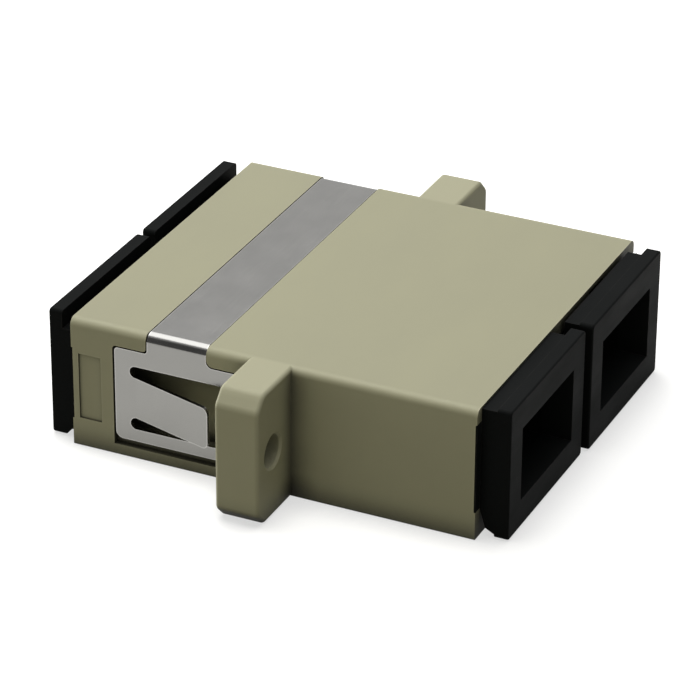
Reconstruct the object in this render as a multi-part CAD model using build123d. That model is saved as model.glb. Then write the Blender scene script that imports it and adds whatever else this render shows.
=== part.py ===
"""Duplex fibre optic adapter with a side flange, a snap-in clip and four dust caps.

Millimetres, +Z up. X runs along the fibres, Y across the two channels. The origin is under
the middle of the housing, on its bottom face. The clip sits on the -X side of the flange.
"""
import os

from build123d import *

# Housing
BODY_LEN = 28.05
BODY_W = 26.2
BODY_H = 9.1
TOP_EDGE_R = 0.5
BOTTOM_EDGE_R = 0.12
CHANNEL_PITCH = 12.7
PORT_W = 9.0
PORT_H = 7.4
PORT_CORNER_R = 0.3
PORT_LEAD = 0.25
KEYWAY_W = 2.4
KEYWAY_ROOF_T = 0.35
KEYWAY_LEN = 4.9
END_STEP_DEPTH = 0.1
END_STEP_LOW = 1.95
END_STEP_DROP = {"clip_end": 2.05, "plain_end": 1.0}
STOP_RIB_H = 0.2
STOP_RIB_LEN = 0.5
STOP_RIB_MARGIN = 1.5
SIDE_PAD_INSET = 0.5
SIDE_PAD_LEN = 1.6
SIDE_PAD_Z = 2.05
SIDE_PAD_DROP = 2.4
SIDE_PAD_DEPTH = 0.12

# Flange
FLANGE_SPAN = 35.5
FLANGE_T = 3.0
FLANGE_TOP_CUT = 0.95
FLANGE_BOTTOM_CUT = 0.85
FLANGE_CORNER_R = 0.6
FLANGE_EDGE_R = 0.25
SCREW_EDGE = 2.1
SCREW_HOLE_D = 2.2
SCREW_HOLE_RIM = 0.15

# Snap-in clip
SHEET_T = 0.25
STRAP_X = -6.52
STRAP_W = 4.16
STRAP_SINK = 0.02
BEND_R = 0.65
PLATE_START = -10.93
PLATE_END = -1.75
PLATE_Z = 1.26
PLATE_DROP = 1.35
PLATE_SINK = 0.05
PLATE_CORNER_R = 0.5
PLATE_SHOULDER_R = 0.25
NECK_R = 0.45
WINDOW_END = -2.75
TONGUE_ROOT = -9.45
TONGUE_TIP = -3.51
TONGUE_REACH = 1.72
TONGUE_H = 2.88
TONGUE_DROP = 0.12
TONGUE_CORNER_R = 0.45
SLOT_W = 0.82

# Clip pocket in the housing
STRAP_GAP = 0.06
UNDER_STRAP_GAP = 0.03
PLATE_GAP = 0.12
PLATE_GAP_BELOW = 0.5
BEHIND_PLATE_GAP = 0.15
STRAP_CORNER_R = 0.3
SPRING_SPACE_DEPTH = 1.3
SPRING_SPACE_MARGIN = 0.35

# Dust caps
CAP_SPACING = 0.6
CAP_EDGE_DROP = 0.05
CAP_PLATE_T = 0.95
CAP_CORNER_R = 0.28
CAP_FRONT_EDGE_R = 0.12
CAP_NECK_LEN = 1.0
CAP_NECK_INSET = 1.05
CAP_NECK_DROP = 0.1
CAP_SHOULDER_DROP = 1.25
CAP_TAB_GAP = 0.03
CAP_GUSSET_X = 0.4
CAP_GUSSET_Z = 0.6
CAP_PLUG_LEN = 3.2
CAP_PLUG_GAP = 0.1
CAP_PLUG_LEAD = 0.2
CAP_RIM_SIDE = 1.875
CAP_RIM_TOP = 1.95
CAP_WALL_SIDE = 0.6
CAP_WALL_TOP = 1.3
CAP_FLOOR_T = 0.7
LOOSE_CAP = ("plain_end", "b")
LOOSE_CAP_OUT = 0.25

# Latch holders and alignment sleeves
HOLDER_PLATE_T = 1.55
HOLDER_GAP = 0.06
HOLDER_CORNER_R = 0.4
BARREL_D = 4.7
BARREL_BORE_D = 3.3
BARREL_LEN = 6.4
BARREL_LIP_T = 0.6
BARREL_LIP_D = 2.6
ARM_SIDE_GAP = 0.3
ARM_T = 0.7
ARM_W = 3.2
ARM_END = 9.3
HOOK_LEN = 1.0
HOOK_H = 0.45
SLEEVE_D = 3.2
SLEEVE_BORE_D = 2.5
SLEEVE_LEN = 11.4
SLEEVE_SLIT_W = 0.4

# Derived positions
END_X = BODY_LEN / 2
SIDE_Y = BODY_W / 2
AXIS_Z = BODY_H / 2
PORT_TOP = AXIS_Z + PORT_H / 2
PORT_LOW = AXIS_Z - PORT_H / 2
STEP_TOPS = {end: BODY_H - drop for end, drop in END_STEP_DROP.items()}
FLANGE_FACE = FLANGE_T / 2
STRAP_TOP = BODY_H - STRAP_SINK
PLATE_OUT_Y = SIDE_Y - PLATE_SINK
PLATE_IN_Y = PLATE_OUT_Y - SHEET_T
POCKET_Y = PLATE_IN_Y - BEHIND_PLATE_GAP
PLATE_TOP = BODY_H - PLATE_DROP
TONGUE_Z = (PLATE_Z + PLATE_TOP - TONGUE_H) / 2 - TONGUE_DROP
SCREW_Y = FLANGE_SPAN / 2 - SCREW_EDGE
CAP_PLATE_W = CHANNEL_PITCH - CAP_SPACING
CAP_PLATE_H = BODY_H - 2 * CAP_EDGE_DROP
CAP_PLUG_W = PORT_W - 2 * CAP_PLUG_GAP
CAP_PLUG_H = PORT_H - 2 * CAP_PLUG_GAP
CAP_EAR_Y = SIDE_Y - CHANNEL_PITCH / 2 - CAP_TAB_GAP
CAP_BORE_W = CAP_PLUG_W - 2 * CAP_WALL_SIDE
CAP_BORE_H = CAP_PLUG_H - 2 * CAP_WALL_TOP
CAP_TOP = AXIS_Z + CAP_PLATE_H / 2
CAP_SHOULDER = CAP_TOP - CAP_SHOULDER_DROP
NECK_TOPS = {"clip_end": CAP_SHOULDER, "plain_end": CAP_TOP - CAP_NECK_DROP}
CHANNELS = {"a": -CHANNEL_PITCH / 2, "b": CHANNEL_PITCH / 2}
ENDS = ("clip_end", "plain_end")
OVER = 1.0


def block(x0, x1, y0, y1, z0, z1):
    """Box given by its two limits along each axis."""
    centre = Pos((x0 + x1) / 2, (y0 + y1) / 2, (z0 + z1) / 2)
    return centre * Box(x1 - x0, y1 - y0, z1 - z0)


def beam(x0, x1, width, height, z, radius=0.0):
    """Box along X, centred on Y = 0 and on height z, with rounded long edges."""
    shape = block(x0, x1, -width / 2, width / 2, z - height / 2, z + height / 2)
    if radius > 0:
        shape = fillet(shape.edges().filter_by(Axis.X), radius)
    return shape


def rounded_outline(corners):
    """Flat face from (x, y, radius) corners."""
    face = make_face(Polyline(*[(x, y) for x, y, _ in corners], close=True))
    for x, y, radius in corners:
        if radius > 0:
            corner = face.vertices().sort_by_distance((x, y, 0))[0]
            face = fillet(corner, radius)
    return face


def side_prism(face, y_in, y_out):
    """Prism of an X-Z outline on the -Y side, between two distances from Y = 0."""
    return extrude(Plane.XZ.offset(y_in) * face, y_out - y_in)


def both_sides(shape):
    """The shape and its mirror image on the other side of Y = 0."""
    return shape + mirror(shape, about=Plane.XZ)


def at_end(shape, end, y):
    """Place a piece made for the +X end at one end and one channel."""
    if end == "clip_end":
        shape = mirror(shape, about=Plane.YZ)
    return Pos(0, y, 0) * shape


def flange():
    """Flange plate with cut corners, soft edges and two screw holes."""
    half = FLANGE_SPAN / 2
    outline = make_face(
        Polyline(
            (-half + FLANGE_BOTTOM_CUT, 0),
            (half - FLANGE_BOTTOM_CUT, 0),
            (half, FLANGE_BOTTOM_CUT),
            (half, BODY_H - FLANGE_TOP_CUT),
            (half - FLANGE_TOP_CUT, BODY_H),
            (-half + FLANGE_TOP_CUT, BODY_H),
            (-half, BODY_H - FLANGE_TOP_CUT),
            (-half, FLANGE_BOTTOM_CUT),
            close=True,
        )
    )
    outline = fillet(outline.vertices(), FLANGE_CORNER_R)
    plate = extrude(Plane.YZ.offset(-FLANGE_FACE) * outline, FLANGE_T)
    plate = fillet(plate.edges().filter_by(Axis.X, reverse=True), FLANGE_EDGE_R)
    for side in (-1, 1):
        spot = Pos(0, side * SCREW_Y, AXIS_Z) * Rot(0, 90, 0)
        plate -= spot * Cylinder(SCREW_HOLE_D / 2, FLANGE_T + OVER)
        for face in (-1, 1):
            rim = Cone(SCREW_HOLE_D / 2, SCREW_HOLE_D / 2 + SCREW_HOLE_RIM, SCREW_HOLE_RIM)
            lift = Pos(0, 0, face * (FLANGE_FACE - SCREW_HOLE_RIM / 2))
            turn = Rot(0, 0, 0) if face > 0 else Rot(180, 0, 0)
            plate -= spot * lift * turn * rim
    return plate


def opening_at(x, width, height):
    """Rectangle across X, centred on the fibre axis."""
    return Plane.YZ.offset(x) * Pos(0, AXIS_Z) * Rectangle(width, height)


def port():
    """Space for one plug, open at both ends, with keyways and lead-in edges."""
    bore = beam(-END_X - OVER, END_X + OVER, PORT_W, PORT_H, AXIS_Z, PORT_CORNER_R)
    rib_y = PORT_W / 2 - STOP_RIB_MARGIN
    for side in (-1, 1):
        mouth = side * END_X
        wide = opening_at(mouth, PORT_W + 2 * PORT_LEAD, PORT_H + 2 * PORT_LEAD)
        narrow = opening_at(mouth - side * PORT_LEAD, PORT_W, PORT_H)
        bore += loft(Sketch() + [wide, narrow])
        near, far = sorted((mouth - side * KEYWAY_LEN, mouth + side * OVER))
        bore += block(near, far, -KEYWAY_W / 2, KEYWAY_W / 2, AXIS_Z, BODY_H - KEYWAY_ROOF_T)
        start = side * (HOLDER_PLATE_T + HOLDER_GAP)
        near, far = sorted((start, start + side * STOP_RIB_LEN))
        bore -= block(near, far, -rib_y, rib_y, PORT_TOP - STOP_RIB_H, PORT_TOP)
        bore -= block(near, far, -rib_y, rib_y, PORT_LOW, PORT_LOW + STOP_RIB_H)
    return bore


def clip_space():
    """Groove over the top and pockets in both sides for the snap-in clip."""
    x0 = STRAP_X - STRAP_W / 2 - STRAP_GAP
    x1 = STRAP_X + STRAP_W / 2 + STRAP_GAP
    floor = STRAP_TOP - SHEET_T - UNDER_STRAP_GAP
    core = block(x0 - OVER, x1 + OVER, -POCKET_Y, POCKET_Y, 0, floor)
    core = fillet(core.edges().filter_by(Axis.X).group_by(Axis.Z)[-1], STRAP_CORNER_R)
    reach = SIDE_Y + OVER
    groove = block(x0, x1, -reach, reach, PLATE_TOP, BODY_H + OVER) - core
    shoulder = PLATE_TOP + PLATE_GAP
    outline = rounded_outline(
        [
            (PLATE_START - PLATE_GAP, PLATE_Z - PLATE_GAP_BELOW, 0),
            (PLATE_END + PLATE_GAP, PLATE_Z - PLATE_GAP_BELOW, 0),
            (PLATE_END + PLATE_GAP, shoulder, 0),
            (x1, shoulder, NECK_R),
            (x1, BODY_H + OVER, 0),
            (x0, BODY_H + OVER, 0),
            (x0, shoulder, NECK_R / 2),
            (PLATE_START - PLATE_GAP, shoulder, PLATE_SHOULDER_R),
        ]
    )
    pocket = side_prism(outline, POCKET_Y, reach)
    margin = SLOT_W + SPRING_SPACE_MARGIN
    behind = SPRING_SPACE_MARGIN + SLOT_W / 2
    deep = block(
        TONGUE_ROOT - behind,
        WINDOW_END + SPRING_SPACE_MARGIN,
        -reach,
        -SIDE_Y + SPRING_SPACE_DEPTH,
        TONGUE_Z - margin,
        TONGUE_Z + TONGUE_H + margin,
    )
    return groove + both_sides(pocket + deep)


def housing():
    """One-piece moulded body with the flange."""
    body = block(-END_X, END_X, -SIDE_Y, SIDE_Y, 0, BODY_H)
    long_edges = body.edges().filter_by(Axis.X).group_by(Axis.Z)
    body = fillet(long_edges[-1], TOP_EDGE_R)
    long_edges = body.edges().filter_by(Axis.X).group_by(Axis.Z)
    body = fillet(long_edges[0], BOTTOM_EDGE_R)
    body += flange()
    opening = port()
    for y in CHANNELS.values():
        body -= Pos(0, y, 0) * opening
    body -= clip_space()
    for end in ENDS:
        across = (-SIDE_Y - OVER, SIDE_Y + OVER)
        step = block(END_X - END_STEP_DEPTH, END_X + OVER, *across, END_STEP_LOW, STEP_TOPS[end])
        body -= at_end(step, end, 0)
    pad_x = -END_X + SIDE_PAD_INSET
    pad = block(
        pad_x,
        pad_x + SIDE_PAD_LEN,
        -SIDE_Y - OVER,
        -SIDE_Y + SIDE_PAD_DEPTH,
        SIDE_PAD_Z,
        BODY_H - SIDE_PAD_DROP,
    )
    return body - both_sides(pad)


def tongue():
    """Spring tongue cut from the side plate and bent outwards towards the flange."""
    run = TONGUE_TIP - TONGUE_ROOT
    length = (run**2 + TONGUE_REACH**2) ** 0.5
    along = (run / length, -TONGUE_REACH / length)
    inward = (TONGUE_REACH / length, run / length)
    tip = (TONGUE_TIP, -PLATE_OUT_Y - TONGUE_REACH)
    root_back = SHEET_T * (1 - inward[1]) / along[1]
    strip = make_face(
        Polyline(
            (TONGUE_ROOT - SLOT_W, -PLATE_OUT_Y),
            (TONGUE_ROOT, -PLATE_OUT_Y),
            tip,
            (tip[0] + SHEET_T * inward[0], tip[1] + SHEET_T * inward[1]),
            (TONGUE_ROOT - root_back, -PLATE_IN_Y),
            (TONGUE_ROOT - SLOT_W, -PLATE_IN_Y),
            close=True,
        )
    )
    low = TONGUE_Z
    high = TONGUE_Z + TONGUE_H
    blank = extrude(Plane.XY.offset(low) * strip, TONGUE_H)
    shape = rounded_outline(
        [
            (TONGUE_ROOT - SLOT_W, low, 0),
            (TONGUE_TIP, low, TONGUE_CORNER_R),
            (TONGUE_TIP, high, TONGUE_CORNER_R),
            (TONGUE_ROOT - SLOT_W, high, 0),
        ]
    )
    return blank & side_prism(shape, SIDE_Y - OVER, SIDE_Y + OVER + TONGUE_REACH)


def clip_side():
    """Side plate with its neck, its window and the bent tongue."""
    neck0 = STRAP_X - STRAP_W / 2
    neck1 = STRAP_X + STRAP_W / 2
    neck_top = STRAP_TOP - BEND_R
    outline = rounded_outline(
        [
            (PLATE_START, PLATE_Z, PLATE_CORNER_R),
            (PLATE_END, PLATE_Z, PLATE_CORNER_R),
            (PLATE_END, PLATE_TOP, PLATE_SHOULDER_R),
            (neck1, PLATE_TOP, NECK_R),
            (neck1, neck_top, 0),
            (neck0, neck_top, 0),
            (neck0, PLATE_TOP, NECK_R / 2),
            (PLATE_START, PLATE_TOP, PLATE_SHOULDER_R),
        ]
    )
    plate = side_prism(outline, PLATE_IN_Y, PLATE_OUT_Y)
    reach = (-SIDE_Y - OVER, -SIDE_Y + OVER)
    low = TONGUE_Z - SLOT_W
    high = TONGUE_Z + TONGUE_H + SLOT_W
    plate -= block(TONGUE_ROOT, WINDOW_END, *reach, low, high)
    for z in (low + SLOT_W / 2, high - SLOT_W / 2):
        plate -= Pos(TONGUE_ROOT, -SIDE_Y, z) * Rot(90, 0, 0) * Cylinder(SLOT_W / 2, 2 * OVER)
    return plate + tongue()


def mounting_clip():
    """Folded sheet clip, over the top and down both sides."""
    x0 = STRAP_X - STRAP_W / 2
    x1 = STRAP_X + STRAP_W / 2
    low = PLATE_TOP
    outer = block(x0, x1, -PLATE_OUT_Y, PLATE_OUT_Y, low, STRAP_TOP)
    outer = fillet(outer.edges().filter_by(Axis.X).group_by(Axis.Z)[-1], BEND_R)
    inner = block(x0 - OVER, x1 + OVER, -PLATE_IN_Y, PLATE_IN_Y, low - OVER, STRAP_TOP - SHEET_T)
    inner = fillet(inner.edges().filter_by(Axis.X).group_by(Axis.Z)[-1], BEND_R - SHEET_T)
    return (outer - inner) + both_sides(clip_side())


def dust_cap(end, outer):
    """Hollow push-in cap with the neck and tab of one end, drawn at the +X end on Y = 0.

    The outer side, -1 or 1, is the one of the housing's wall.
    """
    back = END_X + CAP_NECK_LEN
    front = back + CAP_PLATE_T
    side = CAP_PLATE_W / 2
    low = AXIS_Z - CAP_PLATE_H / 2
    cap = beam(back, front, CAP_PLATE_W, CAP_PLATE_H, AXIS_Z, CAP_CORNER_R)
    cap = fillet(cap.faces().sort_by(Axis.X)[-1].edges(), CAP_FRONT_EDGE_R)
    seat = END_X - END_STEP_DEPTH + CAP_TAB_GAP
    tab_low = END_STEP_LOW + CAP_TAB_GAP
    tab_top = STEP_TOPS[end] - CAP_TAB_GAP
    tab = make_face(
        Polyline(
            (seat, tab_low),
            (END_X, tab_low),
            (END_X + CAP_GUSSET_X, low + CAP_GUSSET_Z),
            (back, low + CAP_CORNER_R),
            (back, CAP_SHOULDER),
            (END_X, CAP_SHOULDER),
            (END_X, tab_top),
            (seat, tab_top),
            close=True,
        )
    )
    cap += extrude(Plane.XZ.offset(-side) * tab, CAP_PLATE_W)
    ear = sorted((outer * side, outer * CAP_EAR_Y))
    cap += block(seat, END_X, *ear, tab_low, tab_top)
    if NECK_TOPS[end] > CAP_SHOULDER:
        cap += block(END_X, back, -side, side - CAP_NECK_INSET, AXIS_Z, NECK_TOPS[end])
    plug_end = END_X - CAP_PLUG_LEN
    plug = beam(plug_end, END_X, CAP_PLUG_W, CAP_PLUG_H, AXIS_Z, PORT_CORNER_R)
    plug = chamfer(plug.faces().sort_by(Axis.X)[0].edges(), CAP_PLUG_LEAD)
    cap += plug
    mouth = opening_at(front, CAP_PLATE_W - 2 * CAP_RIM_SIDE, CAP_PLATE_H - 2 * CAP_RIM_TOP)
    throat = opening_at(END_X, CAP_BORE_W, CAP_BORE_H)
    cap -= loft(Sketch() + [throat, mouth])
    return cap - beam(plug_end + CAP_FLOOR_T, END_X, CAP_BORE_W, CAP_BORE_H, AXIS_Z)


def latch_arm():
    """Latch arm of the +Y side with its inward hook."""
    out_y = PORT_W / 2 - ARM_SIDE_GAP
    in_y = out_y - ARM_T
    profile = make_face(
        Polyline(
            (HOLDER_PLATE_T / 2, in_y),
            (ARM_END - HOOK_LEN, in_y),
            (ARM_END - HOOK_LEN, in_y - HOOK_H),
            (ARM_END - HOOK_LEN / 2, in_y - HOOK_H),
            (ARM_END, in_y),
            (ARM_END, out_y),
            (HOLDER_PLATE_T / 2, out_y),
            close=True,
        )
    )
    return extrude(Plane.XY.offset(AXIS_Z - ARM_W / 2) * profile, ARM_W)


def latch_holder():
    """Half of the plug holder for the +X end: plate, sleeve barrel and two latch arms."""
    turn = Rot(0, 90, 0)
    middle = Pos(BARREL_LEN / 2, 0, AXIS_Z)
    plate_w = PORT_W - 2 * HOLDER_GAP
    plate_h = PORT_H - 2 * HOLDER_GAP
    holder = beam(0, HOLDER_PLATE_T, plate_w, plate_h, AXIS_Z, HOLDER_CORNER_R)
    holder += middle * turn * Cylinder(BARREL_D / 2, BARREL_LEN)
    arm = latch_arm()
    holder += both_sides(arm)
    seat_len = BARREL_LEN - BARREL_LIP_T
    holder -= Pos(seat_len / 2, 0, AXIS_Z) * turn * Cylinder(BARREL_BORE_D / 2, seat_len)
    return holder - middle * turn * Cylinder(BARREL_LIP_D / 2, BARREL_LEN)


def alignment_sleeve():
    """Split sleeve that lines up the two ferrules of a channel."""
    turn = Pos(0, 0, AXIS_Z) * Rot(0, 90, 0)
    sleeve = turn * (Cylinder(SLEEVE_D / 2, SLEEVE_LEN) - Cylinder(SLEEVE_BORE_D / 2, SLEEVE_LEN))
    half = SLEEVE_LEN / 2 + OVER
    return sleeve - block(-half, half, -SLEEVE_SLIT_W / 2, SLEEVE_SLIT_W / 2, AXIS_Z, AXIS_Z + SLEEVE_D)


os.makedirs("parts", exist_ok=True)
export_step(housing(), "parts/housing.step")
export_step(mounting_clip(), "parts/mounting_clip.step")
holder_shape = latch_holder()
sleeve_shape = alignment_sleeve()
for channel, y_mid in CHANNELS.items():
    outer_side = 1 if y_mid > 0 else -1
    for end_name in ENDS:
        cap_shape = dust_cap(end_name, outer_side)
        if (end_name, channel) == LOOSE_CAP:
            cap_shape = Pos(LOOSE_CAP_OUT, 0, 0) * cap_shape
        export_step(at_end(cap_shape, end_name, y_mid), f"parts/dust_cap_{end_name}_{channel}.step")
        export_step(at_end(holder_shape, end_name, y_mid), f"parts/latch_holder_{end_name}_{channel}.step")
    export_step(Pos(0, y_mid, 0) * sleeve_shape, f"parts/alignment_sleeve_{channel}.step")
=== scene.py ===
"""Looks of the duplex fibre optic adapter: materials, floor, lamps, surround and camera. Metres, +Z up."""
import math

import bpy
from mathutils import Matrix, Vector


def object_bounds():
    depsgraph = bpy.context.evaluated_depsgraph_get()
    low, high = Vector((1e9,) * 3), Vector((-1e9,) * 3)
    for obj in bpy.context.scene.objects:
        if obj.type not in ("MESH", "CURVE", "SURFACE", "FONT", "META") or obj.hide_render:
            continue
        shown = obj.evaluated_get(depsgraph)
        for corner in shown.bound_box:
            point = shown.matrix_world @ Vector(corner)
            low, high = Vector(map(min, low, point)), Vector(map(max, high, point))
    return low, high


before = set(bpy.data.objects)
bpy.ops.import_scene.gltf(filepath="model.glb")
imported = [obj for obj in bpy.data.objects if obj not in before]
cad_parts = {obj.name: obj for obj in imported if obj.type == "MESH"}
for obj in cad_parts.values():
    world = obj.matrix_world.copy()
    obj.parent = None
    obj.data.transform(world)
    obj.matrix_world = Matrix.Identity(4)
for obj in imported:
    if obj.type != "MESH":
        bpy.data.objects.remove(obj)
cad_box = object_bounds()

MM = 0.001


def tint(r, g=None, b=None):
    """Opaque linear colour, grey where only one value is given."""
    return (r, r if g is None else g, r if b is None else b, 1.0)


# Linear colours: a surface varies between the two of its pair
BEIGE = (tint(0.402, 0.390, 0.262), tint(0.424, 0.412, 0.278))
BEIGE_SPECK = tint(0.36, 0.347, 0.23)
# Pale colour of worn edges, also used as a painted highlight on the edges and on the housing's rounded top
# edges
BEIGE_WORN_AND_HIGHLIGHT = tint(0.54, 0.525, 0.365)
BLACK = (tint(0.0055, 0.0064, 0.0064), tint(0.0080, 0.0088, 0.0088))
BLACK_SCUFFED = tint(0.034, 0.031, 0.030)
STEEL = (tint(0.302, 0.298, 0.285), tint(0.338, 0.332, 0.317))
STEEL_LINE = tint(0.262, 0.262, 0.254)
STEEL_CUT = tint(0.70, 0.69, 0.67)
IVORY = (tint(0.60, 0.59, 0.53), tint(0.66, 0.65, 0.59))
BRONZE = (tint(0.50, 0.30, 0.16), tint(0.58, 0.37, 0.21))
FLOOR_SHOWN = (tint(0.84), tint(0.86))
FLOOR_THROWN = tint(0.25, 0.24, 0.18)
WHITE = tint(1.0)

# Where the housing's rounded top edges begin and their painted highlight is palest
RIM_Y_MM = (12.45, 12.8)
RIM_Z_MM = (8.68, 8.95)

# Floor: half its side, how far it lies under the object, and its own glow, which rises to white
FLOOR_HALF = 1.5
FLOOR_BELOW = 0.02 * MM
NEAR_GLOW = 0.62
MIRRORED_GLOW = 0.24
WHITENING_MM = (80.0, 350.0)

# Soft lamps over the object and at its clip end: place, size and watts
LAMPS = {
    "key_lamp": ((-0.06, 0.05, 0.32), (0.30, 0.50), 0.99),
    "side_lamp": ((-0.30, 0.0, 0.07), (0.12, 0.12), 0.45),
}
LAMP_AIM = (0.0, 0.0, 0.005)

# Soft fill of the surround: its brighter side, and its strength from behind to that side
FILL = tint(1.0, 0.975, 0.82)
FILL_SIDE = (-0.72, -0.66, 0.2)
FILL_TURN = (-0.5, 0.95)
FILL_STRENGTH = (0.03, 0.37)

# Room that mirrors show: its tones, and its soft borders as parts of a direction
CARD = tint(0.11)
CARD_LEFT_X = (-0.70, -0.55)
CARD_RIGHT_X = (-0.20, -0.05)
FRONT_WALL, BACK_WALL = tint(0.72), tint(0.82)
BACK_WALL_Y = (-0.35, 0.25)
CEILING_Z = (0.75, 0.95)

# Camera fitted to the photograph: degrees, metres, and pixels of its 700-pixel frame
AZIMUTH = 24.705
ELEVATION = 27.855
ROLL = 0.474
DISTANCE = 0.2403
FOCAL_PX = 3682.0
FRAME_PX = 700.0
SHIFT_PX = (7.91, 10.36)
SENSOR_WIDTH = 36.0
CLIP_START, CLIP_END = 0.01, 10.0


class Graph:
    """Adds shader nodes to a tree and links them."""

    def __init__(self, tree):
        self.tree = tree
        self.tree.nodes.clear()

    def feed(self, socket, value):
        """Link value to the socket where it is another node's output, else set it."""
        if isinstance(value, bpy.types.NodeSocket):
            self.tree.links.new(value, socket)
        else:
            socket.default_value = value

    def add(self, kind, inputs=None, **settings):
        node = self.tree.nodes.new(kind)
        for key, value in settings.items():
            setattr(node, key, value)
        for key, value in (inputs or {}).items():
            self.feed(node.inputs[key], value)
        return node

    def mm(self, scale=(1.0, 1.0, 1.0)):
        """Object position in millimetres, stretched by scale."""
        place = self.add("ShaderNodeTexCoord").outputs["Object"]
        factor = tuple(s / MM for s in scale)
        return self.add("ShaderNodeMapping", {"Vector": place, "Scale": factor}).outputs["Vector"]

    def noise(self, vector, size, detail=2.0, rough=0.5):
        """Noise with features about size millimetres across."""
        values = {"Vector": vector, "Scale": 1.0 / size, "Detail": detail, "Roughness": rough}
        return self.add("ShaderNodeTexNoise", values).outputs["Fac"]

    def remap(self, value, span, to=(0.0, 1.0)):
        """Value brought from one span to another, clamped."""
        return self.add("ShaderNodeMapRange", dict(enumerate((value, *span, *to)))).outputs[0]

    def math(self, kind, a, b=0.0):
        return self.add("ShaderNodeMath", {0: a, 1: b}, operation=kind).outputs[0]

    def vector(self, kind, output, inputs):
        return self.add("ShaderNodeVectorMath", inputs, operation=kind).outputs[output]

    def edges(self, radius_mm):
        """0 on flat faces, up to 1 on the outer and inner edges within radius_mm."""
        flat = self.add("ShaderNodeNewGeometry").outputs["Normal"]
        soft = self.add("ShaderNodeBevel", {"Radius": radius_mm * MM}, samples=6).outputs[0]
        same = self.vector("DOT_PRODUCT", "Value", {0: flat, 1: soft})
        return self.remap(same, (0.98, 0.75))

    def hollows(self, reach_mm, deepest):
        """1 on open faces, down to deepest where faces within reach_mm close the surface in."""
        reach = {"Distance": reach_mm * MM}
        open_sky = self.add("ShaderNodeAmbientOcclusion", reach, samples=8).outputs["AO"]
        return self.remap(open_sky, (0.4, 0.95), to=(deepest, 1.0))

    def shade(self, colour, factor):
        """Colour made darker by factor."""
        return self.vector("SCALE", "Vector", {0: colour, 3: factor})

    def blend(self, factor, a, b):
        """Colour a where factor is 0 and b where it is 1."""
        node = self.tree.nodes.new("ShaderNodeMix")
        node.data_type = "RGBA"
        sockets = {s.identifier: s for s in node.inputs}
        for name, value in (("Factor_Float", factor), ("A_Color", a), ("B_Color", b)):
            self.feed(sockets[name], value)
        return next(s for s in node.outputs if s.identifier == "Result_Color")

    def either(self, factor, a, b):
        """Shader a where factor is 0 and b where it is 1."""
        return self.add("ShaderNodeMixShader", {0: factor, 1: a, 2: b}).outputs[0]

    def light_path(self):
        """Outputs of the light path, and 1 for rays that mirror or look through a surface."""
        path = self.add("ShaderNodeLightPath").outputs
        return path, self.math("MAXIMUM", path["Is Glossy Ray"], path["Is Transmission Ray"])


def material(name):
    made = bpy.data.materials.new(name)
    made.use_nodes = True
    return made, Graph(made.node_tree)


def finish_material(graph, colour, roughness, height, bump_mm, **sockets):
    """Principled shader with a bump bump_mm high; sockets hold the values that are the same all over."""
    bump = graph.add("ShaderNodeBump", {"Height": height, "Strength": 1.0, "Distance": bump_mm * MM})
    values = {"Base Color": colour, "Roughness": roughness, "Normal": bump.outputs["Normal"]}
    shader = graph.add("ShaderNodeBsdfPrincipled", values | sockets)
    graph.add("ShaderNodeOutputMaterial", {"Surface": shader.outputs[0]})


def beige_plastic():
    """Finely eroded moulded plastic with faint flow mottling, paler edges from wear and a painted
    highlight, and painted shade in its hollows.
    """
    made, g = material("beige_moulding")
    at = g.mm()
    flow = g.noise(g.mm(scale=(1.0, 0.45, 1.0)), size=5.0, detail=3.0, rough=0.55)
    grain = g.noise(at, size=0.11, detail=3.0, rough=0.6)
    speck = g.noise(at, size=0.35, detail=2.0, rough=0.7)
    base = g.blend(g.remap(flow, (0.35, 0.65)), *BEIGE)
    dark = g.math("MULTIPLY", g.remap(speck, (0.66, 0.8)), 0.25)
    base = g.blend(dark, base, BEIGE_SPECK)
    patches = g.remap(g.noise(at, size=0.9, detail=3.0, rough=0.6), (0.35, 0.65), to=(0.3, 1.0))
    # Edge wear, made paler so that it also paints the edges' highlight
    worn = g.math("MULTIPLY", g.edges(radius_mm=0.25), patches)
    base = g.blend(g.math("MULTIPLY", worn, 0.8), base, BEIGE_WORN_AND_HIGHLIGHT)
    # Painted highlight: a paler band along the housing's rounded top edges, placed by position
    place = g.add("ShaderNodeSeparateXYZ", {0: at}).outputs
    beside = g.remap(g.math("ABSOLUTE", place["Y"]), RIM_Y_MM)
    rim_highlight = g.math("MULTIPLY", beside, g.remap(place["Z"], RIM_Z_MM))
    base = g.blend(g.math("MULTIPLY", rim_highlight, 0.45), base, BEIGE_WORN_AND_HIGHLIGHT)
    # Painted shade: colour darkened where nearby faces close the surface in, in corners and recesses
    base = g.shade(base, g.hollows(reach_mm=2.0, deepest=0.08))
    satin = g.remap(flow, (0.3, 0.7), to=(0.50, 0.60))
    rough = g.math("SUBTRACT", satin, g.math("MULTIPLY", worn, 0.12))
    height = g.math("ADD", g.math("MULTIPLY", grain, 0.7), g.math("MULTIPLY", speck, 0.3))
    finish_material(g, base, rough, height, bump_mm=0.006, **{"Specular IOR Level": 0.4})
    return made


def black_plastic():
    """Satin black moulding with faint streaks, fine grain and scuffed edges."""
    made, g = material("black_moulding")
    at = g.mm()
    grain = g.noise(at, size=0.15, detail=3.0, rough=0.6)
    flow = g.noise(g.mm(scale=(1.0, 0.3, 1.0)), size=2.5, detail=3.0, rough=0.6)
    base = g.blend(flow, *BLACK)
    patches = g.remap(g.noise(at, size=0.7, detail=3.0, rough=0.6), (0.35, 0.65), to=(0.1, 1.0))
    worn = g.math("MULTIPLY", g.edges(radius_mm=0.1), patches)
    base = g.blend(g.math("MULTIPLY", worn, 0.9), base, BLACK_SCUFFED)
    rough = g.remap(flow, (0.3, 0.7), to=(0.44, 0.56))
    height = g.math("ADD", g.math("MULTIPLY", grain, 0.6), g.math("MULTIPLY", flow, 0.4))
    finish_material(g, base, rough, height, bump_mm=0.008, **{"Specular IOR Level": 0.025})
    return made


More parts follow.
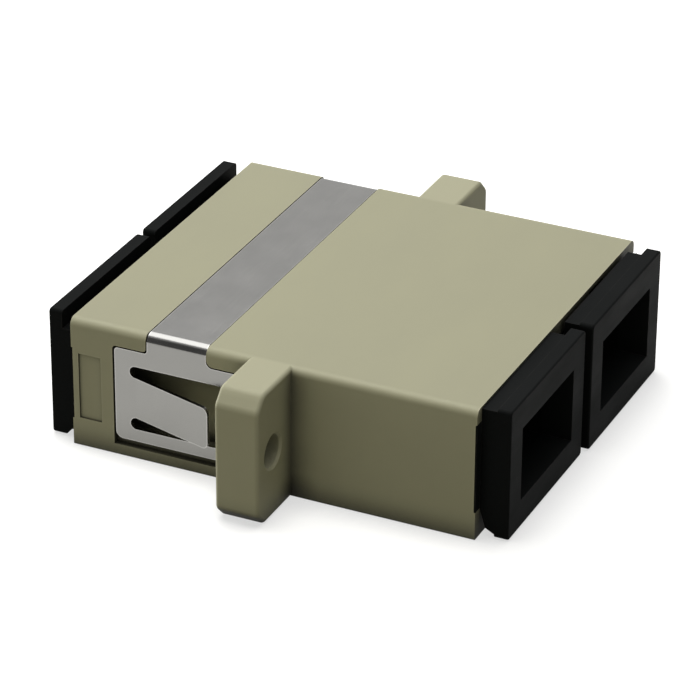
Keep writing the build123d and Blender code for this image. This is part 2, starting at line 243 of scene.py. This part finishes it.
def spring_steel():
    """Bright rolled stainless sheet: fine lines along Y, soft smudges, pale cut edges."""
    made, g = material("rolled_stainless")
    lines = g.noise(g.mm(scale=(1.0, 0.012, 0.6)), size=0.05, detail=4.0, rough=0.65)
    smudge = g.noise(g.mm(), size=2.2, detail=3.0, rough=0.6)
    base = g.blend(smudge, *STEEL)
    streaks = g.math("MULTIPLY", g.remap(lines, (0.35, 0.65)), 0.35)
    base = g.blend(streaks, base, STEEL_LINE)
    cut = g.math("MULTIPLY", g.edges(radius_mm=0.15), 0.8)
    base = g.blend(cut, base, STEEL_CUT)
    rough = g.remap(smudge, (0.3, 0.7), to=(0.13, 0.20))
    finish_material(g, base, rough, lines, bump_mm=0.0015, Metallic=1.0)
    return made


def holder_plastic():
    """Off-white moulding of the parts inside the ports."""
    made, g = material("ivory_moulding")
    flow = g.noise(g.mm(), size=1.8, detail=3.0, rough=0.55)
    grain = g.noise(g.mm(), size=0.12, detail=2.0, rough=0.6)
    base = g.blend(flow, *IVORY)
    rough = g.remap(flow, (0.3, 0.7), to=(0.42, 0.55))
    finish_material(g, base, rough, grain, bump_mm=0.005)
    return made


def sleeve_metal():
    """Phosphor bronze with drawn lines along X."""
    made, g = material("drawn_bronze")
    lines = g.noise(g.mm(scale=(0.02, 1.0, 1.0)), size=0.06, detail=3.0, rough=0.6)
    base = g.blend(lines, *BRONZE)
    rough = g.remap(lines, (0.3, 0.7), to=(0.24, 0.36))
    finish_material(g, base, rough, lines, bump_mm=0.002, Metallic=1.0)
    return made


def dress_nodes():
    """Give each CAD node the material of its kind, by the start of its name."""
    materials = {
        "housing": beige_plastic(),
        "mounting_clip": spring_steel(),
        "dust_cap": black_plastic(),
        "latch_holder": holder_plastic(),
        "alignment_sleeve": sleeve_metal(),
    }
    for name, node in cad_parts.items():
        kind = next(key for key in materials if name.startswith(key))
        node.data.materials.clear()
        node.data.materials.append(materials[kind])


def floor_material():
    """White where seen or mirrored, with the cast shadow kept and a painted shadow close to the object; dim
    beige in the light it throws back.
    """
    made, g = material("studio_floor")
    path, mirrored = g.light_path()
    seen = g.math("MAXIMUM", path["Is Camera Ray"], mirrored)
    grain = g.noise(g.mm(), size=12.0)
    # Painted shadow: the floor darkened where the object closes it in, near its contact
    pale = g.shade(g.blend(grain, *FLOOR_SHOWN), g.hollows(reach_mm=2.5, deepest=0.35))
    away = g.vector("LENGTH", "Value", {0: g.mm()})
    glow_seen = g.remap(away, WHITENING_MM, to=(NEAR_GLOW, 1.0))
    glow = g.remap(path["Is Camera Ray"], (0.0, 1.0), to=(MIRRORED_GLOW, glow_seen))
    lit = g.add("ShaderNodeBsdfDiffuse", {"Color": pale}).outputs[0]
    own = g.add("ShaderNodeEmission", {"Color": WHITE, "Strength": glow}).outputs[0]
    shown = g.add("ShaderNodeAddShader", {0: lit, 1: own}).outputs[0]
    thrown = g.add("ShaderNodeBsdfDiffuse", {"Color": FLOOR_THROWN}).outputs[0]
    below = g.add("ShaderNodeNewGeometry").outputs["Backfacing"]
    clear = g.add("ShaderNodeBsdfTransparent").outputs[0]
    sheet = g.either(below, g.either(seen, thrown, shown), clear)
    g.add("ShaderNodeOutputMaterial", {"Surface": sheet})
    return made


def floor():
    """Square plane just under the object, clear from underneath."""
    ends = (-FLOOR_HALF, FLOOR_HALF)
    corners = [(x, y, -FLOOR_BELOW) for y in ends for x in ends]
    mesh = bpy.data.meshes.new("floor")
    mesh.from_pydata(corners, [], [(0, 1, 3, 2)])
    mesh.materials.append(floor_material())
    plane = bpy.data.objects.new("floor", mesh)
    bpy.context.scene.collection.objects.link(plane)


def lamp(name, place, size, watts):
    """Rectangular area lamp that faces the object."""
    data = bpy.data.lights.new(name, "AREA")
    data.shape = "RECTANGLE"
    data.size, data.size_y = size
    data.energy = watts
    made = bpy.data.objects.new(name, data)
    made.location = place
    way = Vector(LAMP_AIM) - Vector(place)
    made.rotation_euler = way.to_track_quat("-Z", "Y").to_euler()
    bpy.context.scene.collection.objects.link(made)


def surround():
    """White where seen, a soft fill from one side, and in mirrors a pale room with a dark card in front."""
    made = bpy.data.worlds.new("studio")
    made.use_nodes = True
    bpy.context.scene.world = made
    g = Graph(made.node_tree)
    way = g.add("ShaderNodeTexCoord").outputs["Generated"]
    parts = g.add("ShaderNodeSeparateXYZ", {0: way}).outputs
    left_of_card = g.remap(parts["X"], CARD_LEFT_X, to=(1.0, 0.0))
    right_of_card = g.remap(parts["X"], CARD_RIGHT_X)
    front = g.blend(g.math("MAXIMUM", left_of_card, right_of_card), CARD, FRONT_WALL)
    back = g.remap(parts["Y"], BACK_WALL_Y)
    high = g.remap(parts["Z"], CEILING_Z)
    room = g.blend(high, g.blend(back, front, BACK_WALL), WHITE)
    towards = g.vector("DOT_PRODUCT", "Value", {0: way, 1: FILL_SIDE})
    strength = g.remap(towards, FILL_TURN, to=FILL_STRENGTH)

    def light(colour, amount):
        return g.add("ShaderNodeBackground", {"Color": colour, "Strength": amount}).outputs[0]

    path, mirrored = g.light_path()
    fill = light(FILL, strength)
    unseen = g.either(mirrored, fill, light(room, 1.0))
    final = g.either(path["Is Camera Ray"], unseen, light(WHITE, 1.0))
    g.add("ShaderNodeOutputWorld", {"Surface": final})


def camera():
    """Camera at the photograph's angle, looking at the middle of the object's height."""
    a, e, r = (math.radians(v) for v in (AZIMUTH, ELEVATION, ROLL))
    back = Vector((math.sin(a) * math.cos(e), -math.cos(a) * math.cos(e), math.sin(e)))
    level = Vector((math.cos(a), math.sin(a), 0.0))
    rise = back.cross(level)
    right = math.cos(r) * level + math.sin(r) * rise
    up = -math.sin(r) * level + math.cos(r) * rise
    data = bpy.data.cameras.new("camera")
    data.sensor_width = SENSOR_WIDTH
    data.lens = FOCAL_PX / FRAME_PX * SENSOR_WIDTH
    data.shift_x, data.shift_y = (-shift / FRAME_PX for shift in SHIFT_PX)
    data.clip_start = CLIP_START
    data.clip_end = CLIP_END
    viewer = bpy.data.objects.new("camera", data)
    middle = Vector((0.0, 0.0, (cad_box[0][2] + cad_box[1][2]) / 2))
    turn = Matrix((right, up, back)).transposed().to_4x4()
    viewer.matrix_world = Matrix.Translation(middle + back * DISTANCE) @ turn
    bpy.context.scene.collection.objects.link(viewer)
    bpy.context.scene.camera = viewer


dress_nodes()
floor()
for name, values in LAMPS.items():
    lamp(name, *values)
surround()
camera()
bpy.context.scene.view_settings.view_transform = "Standard"
